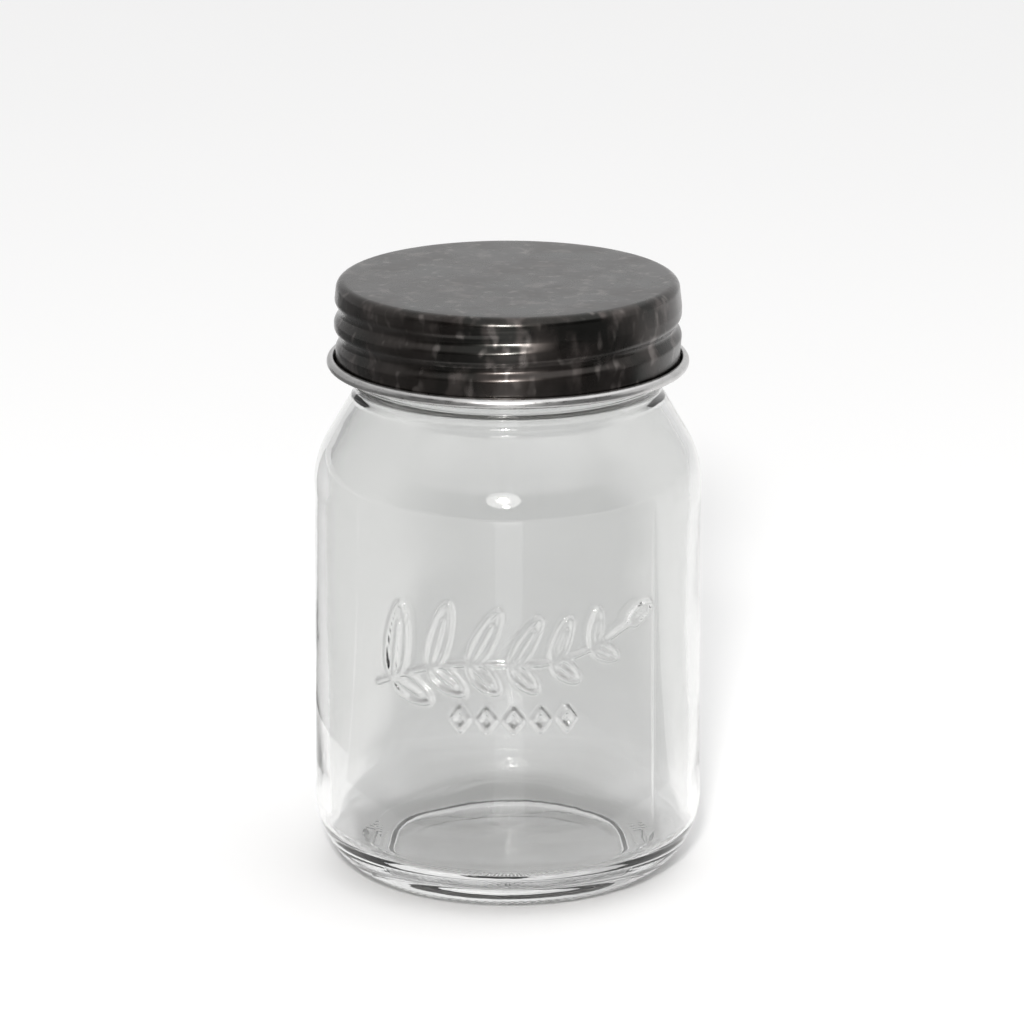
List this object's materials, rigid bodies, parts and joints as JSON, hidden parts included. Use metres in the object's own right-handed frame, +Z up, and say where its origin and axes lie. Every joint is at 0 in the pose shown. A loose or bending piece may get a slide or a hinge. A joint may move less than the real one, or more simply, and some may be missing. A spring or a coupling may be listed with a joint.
{
  "type": "mason jar lantern",
  "caption": "Clear round glass jar used as a small lantern, with a screw-threaded neck and a dark one-piece metal lid that unscrews and lifts off.",
  "frame": {"origin": "centre of the base, on the plane that the jar stands on", "axes": "+Z up along the jar's axis; -Y towards the front, where the relief on the glass is"},
  "size_m": [0.0816, 0.0816, 0.127],
  "materials": {
    "clear_glass": "clear polished glass",
    "pale_foam": "matt pale foam disc",
    "dark_pewter": "tinplate with a mottled dark pewter coat, half gloss, bare tin on the curled edge"
  },
  "bodies": {
    "jar": {"glass_jar": "clear_glass"},
    "liner": {"lid_liner": "pale_foam"},
    "lid": {"screw_lid": "dark_pewter"}
  },
  "joints": [
    {"name": "lid_lift", "type": "slide", "parent": "jar", "child": "liner", "axis": [0, 0, 1], "range_m": [0, 0.0204]},
    {"name": "lid_turn", "type": "hinge", "parent": "liner", "child": "lid", "pos_m": [0, 0, 0.1246], "axis": [0, 0, 1], "range_deg": [0, 1260]}
  ],
  "couplings": [
    {"joint": "lid_lift", "follows": "lid_turn", "m_per_rad": 0.0009231}
  ]
}
